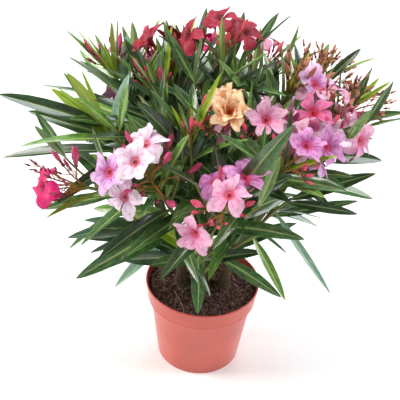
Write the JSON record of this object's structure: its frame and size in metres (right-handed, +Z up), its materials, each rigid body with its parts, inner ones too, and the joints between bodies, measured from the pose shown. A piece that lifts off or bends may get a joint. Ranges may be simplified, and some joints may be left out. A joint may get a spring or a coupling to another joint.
{
  "type": "potted oleander",
  "caption": "Bushy flowering shrub with whorled lance-shaped leaves and clustered funnel flowers, standing in a round tapered nursery pot filled with soil.",
  "frame": {"origin": "centre of the pot's flat underside", "axes": "+Z up along the pot's axis, -Y towards the shrub's front, +X to the right as seen from the front"},
  "size_m": [0.4667, 0.4092, 0.4606],
  "materials": {
    "pot_plastic": "smooth terracotta-coloured plastic with a soft sheen",
    "potting_soil": "dark crumbly peat with fibres and pale specks",
    "stem_bark": "grey-brown bark, finely cracked along the stem",
    "bough_bark": "smooth young green-brown bark with leaf scars",
    "foliage": "glossy dark green leaves with pale midribs, pink, red, white and apricot flowers"
  },
  "bodies": {
    "root": {"pot": "pot_plastic", "soil": "potting_soil", "stem_back": "stem_bark", "stem_centre": "stem_bark", "stem_front": "stem_bark", "stem_left": "stem_bark", "stem_right": "stem_bark", "bough_back": "bough_bark", "bough_back_left": "bough_bark", "bough_back_right": "bough_bark", "bough_back_right_buds": "bough_bark", "bough_front_flowers": "bough_bark", "bough_front_upper": "bough_bark", "bough_left_flowers": "bough_bark", "bough_left_front": "bough_bark", "bough_left_leaves": "bough_bark", "bough_left_upper": "bough_bark", "bough_middle": "bough_bark", "bough_middle_left": "bough_bark", "bough_middle_right": "bough_bark", "bough_right_buds": "bough_bark", "bough_right_flowers": "bough_bark", "bough_right_front": "bough_bark", "bough_top": "bough_bark", "bough_top_left": "bough_bark", "bough_top_right": "bough_bark", "foliage_back": "foliage", "foliage_back_left": "foliage", "foliage_back_left_low": "foliage", "foliage_back_right": "foliage", "foliage_back_right_buds": "foliage", "foliage_back_right_low": "foliage", "foliage_front_flowers": "foliage", "foliage_front_low": "foliage", "foliage_front_upper": "foliage", "foliage_left_flowers": "foliage", "foliage_left_front": "foliage", "foliage_left_front_low": "foliage", "foliage_left_leaves": "foliage", "foliage_left_low": "foliage", "foliage_left_upper": "foliage", "foliage_middle": "foliage", "foliage_middle_left": "foliage", "foliage_middle_right": "foliage", "foliage_right_buds": "foliage", "foliage_right_flowers": "foliage", "foliage_right_front": "foliage", "foliage_right_front_low": "foliage", "foliage_right_low": "foliage", "foliage_top": "foliage", "foliage_top_left": "foliage", "foliage_top_right": "foliage"}
  },
  "joints": []
}
